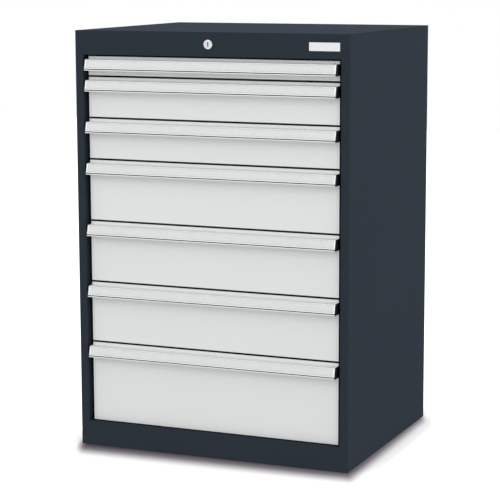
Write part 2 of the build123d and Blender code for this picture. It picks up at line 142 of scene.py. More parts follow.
class NodeSheet:
    """A small helper that fills the node tree of a material or of the surroundings."""

    def __init__(
        self, owner: bpy.types.Material | bpy.types.World, output: str = "ShaderNodeOutputMaterial"
    ) -> None:
        """Empty the owner's node tree and give it an output.

        Args:
            owner: The material or the world.
            output: The output node's type name.
        """
        owner.use_nodes = True
        self.owner = owner
        self.tree = owner.node_tree
        self.tree.nodes.clear()
        self.output = self.add(output)

    def feed(self, target: Socket, value: object) -> None:
        """Link an output to an input, or set the input's own value.

        Args:
            target: The input.
            value: The output to link, or a plain value.
        """
        if isinstance(value, Socket):
            self.tree.links.new(value, target)
        else:
            target.default_value = value

    def add(
        self, kind: str, *values: object, operation: str = "", **inputs: object
    ) -> bpy.types.Node:
        """Add a node and feed its inputs with outputs of other nodes or plain values.

        Args:
            kind: The node's type name.
            values: What the first inputs get, in their order.
            operation: The operation of a math node.
            inputs: What other inputs get, by name with spaces written as underscores.

        Returns:
            The new node.
        """
        node = self.tree.nodes.new(kind)
        if operation:
            node.operation = operation
        for target, value in zip(node.inputs, values):
            self.feed(target, value)
        for key, value in inputs.items():
            self.feed(node.inputs[key.replace("_", " ")], value)
        return node

    def math(self, operation: str, *values: Socket | float) -> Socket:
        """Add a math node.

        Args:
            operation: The operation's name.
            values: The numbers that it works on.

        Returns:
            The result.
        """
        return self.add("ShaderNodeMath", *values, operation=operation).outputs["Value"]

    def vector(self, operation: str, *values: Socket | np.ndarray) -> Socket:
        """Add a vector math node.

        Args:
            operation: The operation's name.
            values: The vectors that it works on. A number stands for three equal parts.

        Returns:
            The result: a number for a dot product or a length, and a vector for the rest.
        """
        node = self.add("ShaderNodeVectorMath", *values, operation=operation)
        return node.outputs["Value" if operation in ("DOT_PRODUCT", "LENGTH") else "Vector"]

    def remap(
        self, value: Socket, *, low: float = 0.0, high: float = 1.0, start: float = 0.0,
        end: float = 1.0,
    ) -> Socket:
        """Map a value from start..end to low..high, and hold it at both ends.

        Args:
            value: The value.
            low: The result at the start. It may be the larger one.
            high: The result at the end.
            start: The value that gives the low result.
            end: The value that gives the high one.

        Returns:
            The mapped value.
        """
        node = self.add(
            "ShaderNodeMapRange", Value=value, From_Min=start, From_Max=end, To_Min=low, To_Max=high
        )
        return node.outputs["Result"]

    def coordinates(self) -> Socket:
        """Return the object coordinate output, in metres in the row frame."""
        return self.add("ShaderNodeTexCoord").outputs["Object"]

    def part(self, vector: Socket, axis: str) -> Socket:
        """Return a vector's part along an axis, X, Y or Z."""
        return self.add("ShaderNodeSeparateXYZ", vector).outputs[axis]

    def facing(self, axis: str) -> Socket:
        """Return how much the surface looks along an axis, from -1 to 1."""
        return self.part(self.add("ShaderNodeNewGeometry").outputs["Normal"], axis)

    def noise(
        self, where: Socket, scale: float, detail: float = 2.0, roughness: float = 0.55
    ) -> Socket:
        """Add a noise texture.

        Args:
            where: The coordinates that it reads.
            scale: The noise scale, in features per metre.
            detail: How many finer layers it has.
            roughness: How much each finer layer still counts.

        Returns:
            The noise value, from 0 to 1.
        """
        node = self.add(
            "ShaderNodeTexNoise", Vector=where, Scale=scale, Detail=detail, Roughness=roughness
        )
        return node.outputs["Fac"]

    def blend(self, share: Socket, low: Socket | Colour, high: Socket | Colour) -> Socket:
        """Blend between two colours.

        Args:
            share: How much of the second colour shows.
            low: The colour at 0.
            high: The colour at 1.

        Returns:
            The blended colour.
        """
        node = self.add("ShaderNodeMix")
        node.data_type = "RGBA"
        for key, value in (("Factor", share), ("A", low), ("B", high)):
            self.feed(node.inputs[key], value)
        return node.outputs["Result"]

    def coat(
        self, colour: Socket, roughness: float, grain: Socket, relief: Relief, **inputs: object
    ) -> Socket:
        """Add the shader of a finish whose bumps and roughness follow one grain.

        Args:
            colour: The colour.
            roughness: The mean roughness.
            grain: The relief's height, from 0 to 1.
            relief: The relief's measures.
            inputs: What the shader's other inputs get.

        Returns:
            The shader.
        """
        rough = self.remap(grain, low=roughness - relief.swing, high=roughness + relief.swing)
        bump = self.add(
            "ShaderNodeBump", Height=grain, Strength=relief.strength, Distance=relief.depth
        )
        node = self.add(
            "ShaderNodeBsdfPrincipled", Base_Color=colour, Roughness=rough,
            Normal=bump.outputs["Normal"], **inputs,
        )
        return node.outputs["BSDF"]

    def for_camera(self, others: Socket, camera: Socket) -> Socket:
        """Show the camera one shader and everything else another.

        Args:
            others: The shader that everything else gets.
            camera: The shader that the camera sees.

        Returns:
            The shader.
        """
        path = self.add("ShaderNodeLightPath")
        node = self.add("ShaderNodeMixShader", path.outputs["Is Camera Ray"], others, camera)
        return node.outputs["Shader"]

    def finish(self, shader: Socket) -> bpy.types.Material | bpy.types.World:
        """Link the final shader.

        Args:
            shader: The shader.

        Returns:
            The finished material or world.
        """
        self.feed(self.output.inputs["Surface"], shader)
        return self.owner


@dataclass(frozen=True)
class SeamShade:
    """Painted shade: a finish painted dark where another surface stands close in front of it.

    Faces that look along one of the kept axes stay as they are. The two limits are the
    facings, as the size of the normal's part along the axis, where that begins and where it
    is complete.
    """

    reach: float
    contrast: float
    kept: tuple[str, ...] = ()
    limits: tuple[float, float] = (0.8, 0.99)
    dark: Colour = (0.001, 0.001, 0.001, 1.0)
    samples: int = 8

    def share(self, sheet: NodeSheet) -> Socket:
        """How much of the finish is left at a point; the rest is painted shade.

        It is the open share of the surroundings within reach, raised to the contrast, and at
        least as much as the face looks along a kept axis.

        Args:
            sheet: The material's node sheet.

        Returns:
            A value from 0 in a tight seam to 1 on an open face.
        """
        near = sheet.add("ShaderNodeAmbientOcclusion", Distance=self.reach)
        near.samples = self.samples
        share = sheet.math("POWER", near.outputs["AO"], self.contrast)
        start, end = self.limits
        for axis in self.kept:
            facing = sheet.math("ABSOLUTE", sheet.facing(axis))
            share = sheet.math("MAXIMUM", share, sheet.remap(facing, start=start, end=end))
        return share


@dataclass(frozen=True)
class FoldShadeLine:
    """Painted shade: a faint upright line of shade along each folded side edge of a drawer front.
    """

    half: float
    inset: float = 5.4 * MM
    width: float = 1.6 * MM
    depth: float = 0.16
    tint: Colour = (0.1, 0.1, 0.1, 1.0)

    def drawn(self, sheet: NodeSheet, where: Socket, colour: Socket) -> Socket:
        """Paint the line of shade near both ends of the front.

        The distance from the line is the absolute value of (distance from the middle plane
        minus the line's place), and the shade falls off linearly to nothing at the width.

        Args:
            sheet: The material's node sheet.
            where: The coordinates.
            colour: The plain colour.

        Returns:
            The colour with the two lines.
        """
        out = sheet.math("ABSOLUTE", sheet.part(where, "X"))
        away = sheet.math("ABSOLUTE", sheet.math("SUBTRACT", out, self.half - self.inset))
        line = sheet.remap(away, low=self.depth, high=0.0, end=self.width)
        return sheet.blend(line, colour, self.tint)


@dataclass(frozen=True)
class LipShadowLine:
    """Painted shade: a thin line of shadow along a rounded lip, between the faces on its two sides.
    """

    low: float = 0.5
    high: float = 1.0
    soft: float = 0.08
    depth: float = 0.6
    tint: Colour = (0.01, 0.01, 0.01, 1.0)

    def drawn(self, sheet: NodeSheet, colour: Socket) -> Socket:
        """Paint the line of shadow on a colour.

        The line lies where the face looks up by more than the low share and less than the
        high one, and both of its borders are soft.

        Args:
            sheet: The material's node sheet.
            colour: The plain colour.

        Returns:
            The colour with the line.
        """
        upward = sheet.facing("Z")
        rise = sheet.remap(upward, high=self.depth, start=self.low, end=self.low + self.soft)
        fall = sheet.remap(upward, low=1.0, high=0.0, start=self.high - self.soft, end=self.high)
        return sheet.blend(sheet.math("MULTIPLY", rise, fall), colour, self.tint)


@dataclass(frozen=True)
class PowderCoat:
    """A powder-coated sheet steel finish with a fine orange peel and very faint clouds."""

    colour: Colour
    roughness: float
    mottle: float
    cloud_scale: float = 3.0
    cloud_detail: float = 3.0
    peel_scale: float = 900.0
    peel: Relief = Relief(depth=0.02 * MM, strength=0.6, swing=0.05)
    specular: float = 0.5
    sheen: float = 0.0
    sheen_roughness: float = 0.4
    sheen_tint: Colour = WHITE
    seam_shade: SeamShade | None = None
    fold_shade: FoldShadeLine | None = None
    lip: LipShadowLine | None = None

    def build(self, name: str) -> bpy.types.Material:
        """Build the material.

        Args:
            name: The material's name.

        Returns:
            The material.
        """
        sheet = NodeSheet(bpy.data.materials.new(name))
        where = sheet.coordinates()
        clouds = sheet.noise(where, self.cloud_scale, self.cloud_detail)
        low = shade(self.colour, 1.0 - self.mottle)
        colour = sheet.blend(clouds, low, shade(self.colour, 1.0 + self.mottle))
        specular = self.specular
        # Painted shade: crease lines of shade, a shadow line along the lip and dark colour in
        # narrow gaps are painted into the colour here; the gaps also lose their gloss.
        if self.fold_shade is not None:
            colour = self.fold_shade.drawn(sheet, where, colour)
        if self.lip is not None:
            colour = self.lip.drawn(sheet, colour)
        if self.seam_shade is not None:
            share = self.seam_shade.share(sheet)
            colour = sheet.blend(share, self.seam_shade.dark, colour)
            specular = sheet.math("MULTIPLY", share, self.specular)
        grain = sheet.noise(where, self.peel_scale)
        shader = sheet.coat(
            colour, self.roughness, grain, self.peel, Specular_IOR_Level=specular,
            Sheen_Weight=self.sheen, Sheen_Roughness=self.sheen_roughness,
            Sheen_Tint=self.sheen_tint,
        )
        return sheet.finish(shader)


@dataclass(frozen=True)
class ZincPlate:
    """A zinc-plated steel finish with faint drawn streaks.

    The streaks run along the axis with the smallest of the three noise scales.
    """

    colour: Colour
    roughness: float = 0.38
    streak: Triple = (260.0, 6.0, 260.0)
    streak_detail: float = 3.0
    streaks: Relief = Relief(depth=0.03 * MM, strength=0.5, swing=0.12)
    cloud_scale: float = 22.0
    cloud_detail: float = 3.0
    darkest: float = 0.86
    lightest: float = 1.08
    metallic: float = 0.92
    seam_shade: SeamShade | None = None

    def build(self, name: str) -> bpy.types.Material:
        """Build the material.

        Args:
            name: The material's name.

        Returns:
            The material.
        """
        sheet = NodeSheet(bpy.data.materials.new(name))
        where = sheet.coordinates()
        stretched = sheet.add("ShaderNodeMapping", Vector=where, Scale=self.streak)
        grain = sheet.noise(stretched.outputs["Vector"], 1.0, self.streak_detail)
        clouds = sheet.noise(where, self.cloud_scale, self.cloud_detail)
        low = shade(self.colour, self.darkest)
        colour = sheet.blend(clouds, low, shade(self.colour, self.lightest))
        # Painted shade: the colour is painted dark in narrow gaps and slots.
        if self.seam_shade is not None:
            colour = sheet.blend(self.seam_shade.share(sheet), self.seam_shade.dark, colour)
        return sheet.finish(
            sheet.coat(colour, self.roughness, grain, self.streaks, Metallic=self.metallic)
        )


@dataclass(frozen=True)
class MouldedPlastic:
    """A moulded plastic, or a plain card, with a fine grain."""

    colour: Colour
    roughness: float
    grain_scale: float = 1500.0
    grain: Relief = Relief(depth=0.03 * MM, strength=0.7, swing=0.06)
    cloud_scale: float = 40.0
    mottle: float = 0.1

    def build(self, name: str) -> bpy.types.Material:
        """Build the material.

        Args:
            name: The material's name.

        Returns:
            The material.
        """
        sheet = NodeSheet(bpy.data.materials.new(name))
        where = sheet.coordinates()
        grain = sheet.noise(where, self.grain_scale)
        clouds = sheet.noise(where, self.cloud_scale)
        low = shade(self.colour, 1.0 - self.mottle)
        colour = sheet.blend(clouds, low, shade(self.colour, 1.0 + self.mottle))
        return sheet.finish(sheet.coat(colour, self.roughness, grain, self.grain))


@dataclass(frozen=True)
class ClearFilm:
    """A clear, thin plastic cover that mostly lets the card behind it show."""

    veil: float = 0.1
    roughness: float = 0.12
    swing: float = 0.03
    ripple_scale: float = 60.0
    dull: Colour = (0.83, 0.85, 0.86, 1.0)
    bright: Colour = (0.86, 0.87, 0.88, 1.0)

    def build(self, name: str) -> bpy.types.Material:
        """Build the material.

        Args:
            name: The material's name.

        Returns:
            The material.
        """
        sheet = NodeSheet(bpy.data.materials.new(name))
        ripple = sheet.noise(sheet.coordinates(), self.ripple_scale)
        rough = sheet.remap(
            ripple, low=self.roughness - self.swing, high=self.roughness + self.swing
        )
        glossy = sheet.add(
            "ShaderNodeBsdfPrincipled", Base_Color=sheet.blend(ripple, self.dull, self.bright),
            Roughness=rough,
        )
        clear = sheet.add("ShaderNodeBsdfTransparent")
        mixed = sheet.add(
            "ShaderNodeMixShader", self.veil, clear.outputs["BSDF"], glossy.outputs["BSDF"]
        )
        return sheet.finish(mixed.outputs["Shader"])


# Painted shade: some finishes below paint their colour dark in narrow gaps, grooves and inside
# corners, paint faint crease lines on the drawer fronts, or paint a shadow line along each handle's
# upper lip.
FINISHES = {
    Slot.CARCASS: PowderCoat(
        to_linear(44, 51, 59), roughness=0.62, mottle=0.04, peel_scale=1100.0,
        peel=Relief(depth=0.04 * MM, strength=0.6, swing=0.05), specular=0.0,
        sheen=0.085, sheen_tint=(0.42, 0.5, 0.62, 1.0),
        seam_shade=SeamShade(reach=15.0 * MM, contrast=3.0, kept=("X", "Y")),
    ),
    Slot.FRONT: PowderCoat(
        to_linear(220, 222, 221), roughness=0.42, mottle=0.012,
        seam_shade=SeamShade(reach=12.0 * MM, contrast=5.0, kept=("Y",)),
        fold_shade=FoldShadeLine(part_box("drawer_1_front")[1].x),
    ),
    Slot.HANDLE: PowderCoat(
        to_linear(228, 230, 229), roughness=0.36, mottle=0.01,
        seam_shade=SeamShade(reach=5.0 * MM, contrast=8.0, kept=("Z",)), lip=LipShadowLine(),
    ),
    Slot.TRAY: PowderCoat(to_linear(214, 216, 216), roughness=0.42, mottle=0.02),
    Slot.END_CAP: MouldedPlastic(to_linear(8, 8, 9), roughness=0.6),
    Slot.RAIL: ZincPlate(to_linear(176, 180, 184)),
    Slot.LOCK_ZINC: ZincPlate(
        to_linear(180, 182, 184), roughness=0.36, streak=(260.0, 260.0, 8.0)
    ),
    Slot.CHROME: ZincPlate(to_linear(192, 193, 195), roughness=0.3, streak=(400.0, 30.0, 400.0)),
    Slot.PLUG: ZincPlate(
        to_linear(196, 195, 192), roughness=0.34, streak=(500.0, 40.0, 500.0),
        seam_shade=SeamShade(reach=3.0 * MM, contrast=4.0),
    ),
    Slot.BADGE: PowderCoat(to_linear(224, 225, 227), roughness=0.34, mottle=0.01),
    Slot.RIVET: ZincPlate(to_linear(182, 184, 186), roughness=0.35, streak=(500.0, 500.0, 500.0)),
}


class MeshPiece:
    """A finished mesh in the row frame, made from grids of points."""

    def __init__(self, name: str) -> None:
        """Start an empty piece.

        Args:
            name: The piece's name.
        """
        self.name = name
        self.points: list[np.ndarray] = []
        self.quads: list[np.ndarray] = []
        self.count = 0

    def add_grid(self, points: np.ndarray, wrap: bool = False) -> None:
        """Add a surface given as a grid of points.

        Args:
            points: Array of shape (rows, columns, 3).
            wrap: Whether the last column joins the first.
        """
        rows, columns = points.shape[:2]
        index = np.arange(rows * columns).reshape(rows, columns) + self.count
        if wrap:
            index = np.hstack([index, index[:, :1]])
        corners = (index[:-1, :-1], index[:-1, 1:], index[1:, 1:], index[1:, :-1])
        self.quads.append(np.stack(corners, axis=-1).reshape(-1, 4))
        self.points.append(points.reshape(-1, 3))
        self.count += rows * columns

    def build(self, material: bpy.types.Material, smooth: bool = True) -> bpy.types.Object:
        """Build the object.

        Args:
            material: The piece's material.
            smooth: Whether its faces are smooth shaded.

        Returns:
            The object, at the origin.
        """
        mesh = bpy.data.meshes.new(self.name)
        points = np.concatenate(self.points)
        quads = np.concatenate(self.quads)
        mesh.from_pydata(points.tolist(), [], quads.tolist())
        mesh.polygons.foreach_set("use_smooth", np.full(len(mesh.polygons), smooth))
        mesh.materials.append(material)
        mesh.validate()
        mesh.update()
        thing = bpy.data.objects.new(self.name, mesh)
        bpy.context.scene.collection.objects.link(thing)
        LOG.info("piece %s", self.name)
        return thing


@dataclass(frozen=True)
class HandleShape:
    """The handle section's measures that the label channel needs, in metres."""

    slope_reach: float = 6.6 * MM
    bead_relief: float = 0.28 * MM
    rim: float = 2.4 * MM
    depth: float = 0.9 * MM
    groove: float = 2.2 * MM
    bead: float = 2.3 * MM


@dataclass(frozen=True)
class LabelSize:
    """Sizes of a label card, its clear cover and its end stops, in metres."""

    stop_end: float = 0.3 * MM
    stop_length: float = 3.2 * MM
    stop_sink: float = 0.05 * MM
    stop_gap: float = 0.05 * MM
    card_end: float = 3.8 * MM
    card_thickness: float = 0.3 * MM
    card_gap: float = 0.05 * MM
    cover_end: float = 3.6 * MM
    cover_thickness: float = 0.35 * MM
    cover_gap: float = 0.03 * MM
    cover_bow: float = 0.12 * MM
    side_play: float = 0.25 * MM
    columns: int = 90
    rows: int = 6


class LabelStrip:
    """The card, clear cover and end stops in one handle's sloping channel."""

    def __init__(self, number: int, size: LabelSize, shape: HandleShape) -> None:
        """Read the handle's place.

        Args:
            number: The drawer's number.
            size: The strip's sizes.
            shape: The handle's section.
        """
        self.number = number
        self.size = size
        self.shape = shape
        low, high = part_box(f"drawer_{number}_handle")
        self.half = high.x
        self.top = high.z - shape.rim
        self.bottom = low.z + shape.bead + shape.groove + shape.rim
        self.low_z = low.z
        self.height = high.z - low.z
        self.front = low.y

    def face(self, heights: np.ndarray, offset: float) -> np.ndarray:
        """The y of the sloping face at some heights.

        Args:
            heights: Heights in metres.
            offset: How far behind the rims the surface lies.

        Returns:
            The y values, from a straight line between the bead and the ledge. The bead's
            rounding takes the relief off the line's foremost point.
        """
        share = (heights - self.low_z) / self.height
        return self.front - self.shape.bead_relief + self.shape.slope_reach * share + offset

    def plate(
        self, name: str, spans: tuple[tuple[float, float], ...], offset: float, thickness: float,
        bow: float = 0.0,
    ) -> MeshPiece:
        """Thin plates that follow the slope, slightly bowed outwards across their height.

        A plate's section is a closed loop: the front is the sloping line moved outwards by
        a half sine of the height, and the back is the same line moved in by the thickness.

        Args:
            name: The piece's name.
            spans: The first and last x of each plate.
            offset: The depth of its front behind the rims.
            thickness: The plate's thickness.
            bow: How far its middle stands out.

        Returns:
            The mesh piece.
        """
        play = self.size.side_play
        heights = np.linspace(self.bottom + play, self.top - play, self.size.rows)
        share = np.linspace(0.0, 1.0, self.size.rows)
        front = self.face(heights, offset) - bow * np.sin(math.pi * share)
        back = self.face(heights, offset + thickness)
        loop_y = np.concatenate([front, back[::-1]])
        loop_z = np.concatenate([heights, heights[::-1]])
        piece = MeshPiece(name)
        for start, end in spans:
            along = np.linspace(start, end, self.size.columns)
            grid = np.empty((along.size, loop_y.size, 3))
            grid[..., 0] = along[:, None]
            grid[..., 1] = loop_y[None, :]
            grid[..., 2] = loop_z[None, :]
            piece.add_grid(grid[:, ::-1], wrap=True)
            for x, order in ((start, 1), (end, -1)):
                cap = np.empty((2, self.size.rows, 3))
                cap[..., 0] = x
                cap[0, :, 1] = front
                cap[1, :, 1] = back
                cap[..., 2] = heights[None, :]
                piece.add_grid(cap[::order])
        return piece

    def build(
        self, card: bpy.types.Material, film: bpy.types.Material, clip: bpy.types.Material
    ) -> None:
        """Build the card, its cover and the two end stops and put them on their drawer.

        The card lies a small gap in front of the channel's floor and the cover a small gap in
        front of the card. The stops reach from just below the rims to the same gap.

        Args:
            card: The card's material.
            film: The cover's material.
            clip: The end stops' material.
        """
        size = self.size
        depth = self.shape.depth
        body = f"drawer_{self.number}"
        card_half = self.half - size.card_end
        card_front = depth - size.card_thickness - size.card_gap
        card_piece = self.plate(
            f"label_card_{self.number}", ((-card_half, card_half),), card_front,
            size.card_thickness,
        )
        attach(card_piece.build(card, smooth=False), body)
        cover_half = self.half - size.cover_end
        cover_piece = self.plate(
            f"label_cover_{self.number}", ((-cover_half, cover_half),),
            card_front - size.cover_thickness - size.cover_gap, size.cover_thickness,
            size.cover_bow,
        )
        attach(cover_piece.build(film), body)
        outer = self.half - size.stop_end
        inner = outer - size.stop_length
        stop_piece = self.plate(
            f"label_stops_{self.number}", ((-outer, -inner), (inner, outer)), size.stop_sink,
            depth - size.stop_sink - size.stop_gap,
        )
        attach(stop_piece.build(clip, smooth=False), body)


@dataclass(frozen=True)
class DomeShape:
    """Sizes of a low round head or ball that stands on a sheet, in metres.

    The tip is the tiny radius that the last ring keeps, so that its points stay apart.
    """

    radius: float
    height: float
    rings: int
    sides: int
    foot: float = 0.0
    tip: float = 0.0001 * MM

    def grid(self, centre: np.ndarray, axis: int, sign: float) -> np.ndarray:
        """The dome's points around a centre, standing up along one axis.

        Ring r has the radius times the cosine of its angle and stands up by the height times
        the sine, from 0 at the rim to a right angle at the crown.

        Args:
            centre: The middle of its foot.
            axis: 0 or 1 for a dome that stands along x or y.
            sign: The direction along that axis.

        Returns:
            Array of shape (rings + 1, sides, 3).
        """
        angles = np.concatenate([[0.0], np.linspace(0.0, RIGHT_ANGLE, self.rings)])
        rise = self.foot + self.height * np.sin(angles)
        rise[0] = 0.0
        spread = self.radius * np.cos(angles) + self.tip
        around = np.linspace(0.0, 4.0 * RIGHT_ANGLE, self.sides, endpoint=False)
        points = np.empty((angles.size, self.sides, 3))
        flat = 1 - axis
        points[..., axis] = centre[axis] + sign * rise[:, None]
        points[..., flat] = centre[flat] + spread[:, None] * np.cos(around)[None, :]
        points[..., 2] = centre[2] + spread[:, None] * np.sin(around)[None, :]
        turn = sign if axis == 0 else -sign
        return points if turn > 0 else points[:, ::-1]


@dataclass(frozen=True)
class CageSize:
    """Sizes of the ball cages in the gap beside a runner's middle member, in metres.

    The shares say where a cage begins and ends along the member.
    """

    seat: float = 0.03 * MM
    thickness: float = 0.4 * MM
    half_height: float = 11.0 * MM
    corner: float = 2.0 * MM
    corner_points: int = 5
    front_share: float = 0.42
    rear_share: float = 0.94
    ball: DomeShape = DomeShape(radius=1.1 * MM, height=1.2 * MM, rings=4, sides=10)
    ball_sink: float = 0.1 * MM
    balls: int = 16
    end_margin: float = 8.0 * MM
    row_height: float = 8.2 * MM


class BallCage:
    """The pair of ball cages on one drawer's middle runner members."""

    def __init__(self, number: int, size: CageSize) -> None:
        """Read the runner's place.

        Args:
            number: The drawer's number.
            size: The cages' sizes.
        """
        self.number = number
        self.size = size
        low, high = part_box(f"runner_{number}")
        self.web = high.x
        self.middle = 0.5 * (low.z + high.z)
        length = high.y - low.y
        self.front = low.y + size.front_share * length
        self.rear = low.y + size.rear_share * length

    def outline(self) -> np.ndarray:
        """The cage's outline in the y-z plane: a long rectangle with rounded corners.

        Returns:
            Array of shape (points, 2): the four corners in turn, each a quarter circle.
        """
        size = self.size
        quarter = np.linspace(0.0, RIGHT_ANGLE, size.corner_points)
        front = self.front + size.corner
        rear = self.rear - size.corner
        rise = size.half_height - size.corner
        middles = ((rear, rise), (front, rise), (front, -rise), (rear, -rise))
        runs = [
            np.stack([y + size.corner * np.cos(quarter + turn * RIGHT_ANGLE),
                      self.middle + z + size.corner * np.sin(quarter + turn * RIGHT_ANGLE)], axis=1)
            for turn, (y, z) in enumerate(middles)
        ]
        return np.concatenate(runs)

    def add_strip(self, piece: MeshPiece, side: float) -> None:
        """Add one cage's strip.

        The strip is a stack of outline loops: a point loop at the middle line of its back, the
        outline at the back, the outline at the front, and the middle line again.

        Args:
            piece: The mesh piece.
            side: 1 for the right, -1 for the left.
        """
        size = self.size
        outline = self.outline()
        near = self.web + size.seat
        far = near + size.thickness
        spine = outline.copy()
        spine[:, 1] = self.middle
        spine[:, 0] = np.clip(outline[:, 0], self.front + size.corner, self.rear - size.corner)
        loops = np.stack([spine, outline, outline, spine])
        grid = np.empty((*loops.shape[:2], 3))
        grid[..., 0] = side * np.array([near, near, far, far])[:, None]
        grid[..., 1:] = loops
        piece.add_grid(grid if side < 0 else grid[:, ::-1], wrap=True)

    def build(self, metal: bpy.types.Material) -> None:
        """Build the pair of cages with their rows of balls.

        Args:
            metal: The cages' material.
        """
        size = self.size
        piece = MeshPiece(f"ball_cage_{self.number}")
        spots = np.linspace(self.front + size.end_margin, self.rear - size.end_margin, size.balls)
        for side in (-1.0, 1.0):
            self.add_strip(piece, side)
            foot = side * (self.web + size.seat + size.thickness - size.ball_sink)
            for row in (-size.row_height, size.row_height):
                for spot in spots:
                    centre = np.array([foot, spot, self.middle + row])
                    piece.add_grid(size.ball.grid(centre, 0, side), wrap=True)
        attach(piece.build(metal), f"runner_{self.number}")


@dataclass(frozen=True)
class ScrewSize:
    """Sizes and places of the screws that hold a tray to its front, in metres."""

    head: DomeShape = DomeShape(radius=3.0 * MM, height=1.5 * MM, rings=5, sides=20, foot=0.5 * MM)
    sheet: float = 1.2 * MM
    seat: float = 0.02 * MM
    low_height: float = 4.8 * MM
    top_drop: float = 3.4 * MM
    places: tuple[float, ...] = (-0.255, -0.085, 0.085, 0.255)


class TrayScrews:
    """The domed screws inside one tray's front wall."""

    def __init__(self, number: int, size: ScrewSize) -> None:
        """Read the tray's place.

        Args:
            number: The drawer's number.
            size: The screws' sizes.
        """
        self.number = number
        self.size = size
        self.low, self.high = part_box(f"drawer_{number}_tray")

    def build(self, metal: bpy.types.Material) -> None:
        """Build the lower row of heads, and the upper row on the hem along the top edge.

        Args:
            metal: The screws' material.
        """
        size = self.size
        piece = MeshPiece(f"tray_screws_{self.number}")
        wall = self.low.y + size.sheet + size.seat
        rows = (
            (wall, self.low.z + size.sheet + size.low_height),
            (wall + size.sheet, self.high.z - size.top_drop),
        )
        for y, z in rows:
            for x in size.places:
                piece.add_grid(size.head.grid(np.array([x, y, z]), 1, 1.0), wrap=True)
        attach(piece.build(metal), f"drawer_{self.number}")


@dataclass(frozen=True)
class CameraPlace:
    """Where the camera stands and how it looks, solved from the photo's corners.

    Location, near and far are metres, the three angles degrees, lens and sensor millimetres.
    """

    location: Triple = (1.747105, -4.142059, 1.186114)
    azimuth: float = 23.1
    elevation: float = 9.128
    roll: float = -0.165
    lens: float = 130.435
    sensor: float = 36.0
    near: float = 0.05
    far: float = 100.0

    def build(self) -> None:
        """Build the camera from its azimuth, elevation and roll."""
        azimuth = math.radians(self.azimuth)
        elevation = math.radians(self.elevation)
        roll = math.radians(self.roll)
        back = Vector((
            math.sin(azimuth) * math.cos(elevation),
            -math.cos(azimuth) * math.cos(elevation),
            math.sin(elevation),
        ))
        right = (-back).cross(Vector((0, 0, 1))).normalized()
        up = right.cross(-back)
        rolled_right = right * math.cos(roll) + up * math.sin(roll)
        rolled_up = up * math.cos(roll) - right * math.sin(roll)
        data = bpy.data.cameras.new("camera")
        data.sensor_width = self.sensor
        data.lens = self.lens
        data.clip_start = self.near
        data.clip_end = self.far
        camera = bpy.data.objects.new("camera", data)
        turn = Matrix((rolled_right, rolled_up, back)).transposed()
        camera.matrix_world = Matrix.Translation(self.location) @ turn.to_4x4()
        bpy.context.scene.collection.objects.link(camera)
        bpy.context.scene.camera = camera
        LOG.info("camera")


@dataclass(frozen=True)
class Lamp:
    """A rectangular soft lamp and the point that it faces, in metres and watts."""

    name: str
    place: Triple
    target: Triple
    size: tuple[float, float]
    watts: float
    colour: Triple = (1.0, 1.0, 1.0)

    def build(self) -> None:
        """Build the lamp, turned towards its target."""
        data = bpy.data.lights.new(self.name, "AREA")
        data.shape = "RECTANGLE"
        data.size, data.size_y = self.size
        data.energy = self.watts
        data.color = self.colour
        lamp = bpy.data.objects.new(self.name, data)
        direction = Vector(self.target) - Vector(self.place)
        turn = direction.to_track_quat("-Z", "Y").to_matrix().to_4x4()
        lamp.matrix_world = Matrix.Translation(self.place) @ turn
        bpy.context.scene.collection.objects.link(lamp)
        LOG.info("lamp %s", self.name)


@dataclass(frozen=True)
class Lights:
    """The lamps, and how bright the surroundings are for everything but the camera."""

    surroundings: float = 0.92
    lamps: tuple[Lamp, ...] = (
        Lamp("key", (-3.3, -8.1, 5.6), target=(0.0, 0.0, 0.45), size=(6.0, 4.5), watts=166.0),
        Lamp("low", (-0.6, -5.0, 0.6), target=(0.0, 0.0, 0.1), size=(3.0, 1.0), watts=25.0),
        Lamp(
            "side", (5.0, 0.6, 1.2), target=(0.35, 0.0, 0.45), size=(3.0, 2.0), watts=71.0,
            colour=(1.0, 0.98, 0.96),
        ),
    )


@dataclass(frozen=True)
class FloorShade:
    """Painted shadow: the soft dark rim around the base, painted into the floor's colour.

    Distances count in full across the view and times the squash along it, and the rim ends
    at the reach. The insets say how far each corner of its rectangle lies inside the base's
    corner, in x and y, from the front left one round to the rear left one. The stops give the
    display level at shares of the reach, and the tint is the green level that black loses.
    """

    reach: float = 44.0 * MM
    squash: float = 0.27
    insets: tuple[tuple[float, float], ...] = (
        (16.0 * MM, -5.0 * MM), (6.0 * MM, 10.0 * MM), (16.0 * MM, 15.0 * MM), (10.6 * MM, 0.0),
    )
    tint: float = 8.0
    stops: tuple[tuple[float, float], ...] = (
        (0.0, 62.0), (0.216, 108.0), (0.27, 125.0), (0.486, 190.0), (0.54, 205.0),
        (0.649, 218.0), (0.865, 225.0), (1.0, 255.0),
    )


@dataclass(frozen=True)
class FloorLook:
    """The floor's extent in metres and its light.

    The camera sees a matte floor that glows a little. Everything else gets a darker matte
    floor, its grey called bounce, that gives off the fill.
    """

    half: float = 8.0
    points: int = 9
    glow: float = 0.6
    bounce: float = 0.25
    fill: float = 0.38


